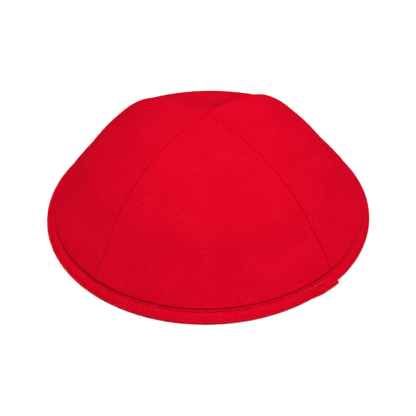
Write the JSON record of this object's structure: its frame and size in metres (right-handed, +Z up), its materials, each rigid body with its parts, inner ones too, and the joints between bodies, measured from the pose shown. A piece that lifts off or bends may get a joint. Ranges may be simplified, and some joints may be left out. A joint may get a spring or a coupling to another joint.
{
  "type": "kippah",
  "caption": "Dome-shaped cloth cap of four sewn panels that meet at the apex, with a bias tape folded over its round rim; it is open below and rests on its rim.",
  "frame": {"origin": "centre of the round rim, on the surface that the cap rests on", "axes": "+Z up through the apex, -Y towards the front panel, +X to the right of the front panel as seen from outside"},
  "size_m": [0.1699, 0.17, 0.0613],
  "materials": {
    "panel_cloth": "dyed cotton twill, matt",
    "binding_tape": "dyed cotton bias tape, matt",
    "thread": "dyed sewing thread"
  },
  "bodies": {
    "root": {"panel_front": "panel_cloth", "panel_right": "panel_cloth", "panel_back": "panel_cloth", "panel_left": "panel_cloth", "binding": "binding_tape"}
  },
  "joints": []
}
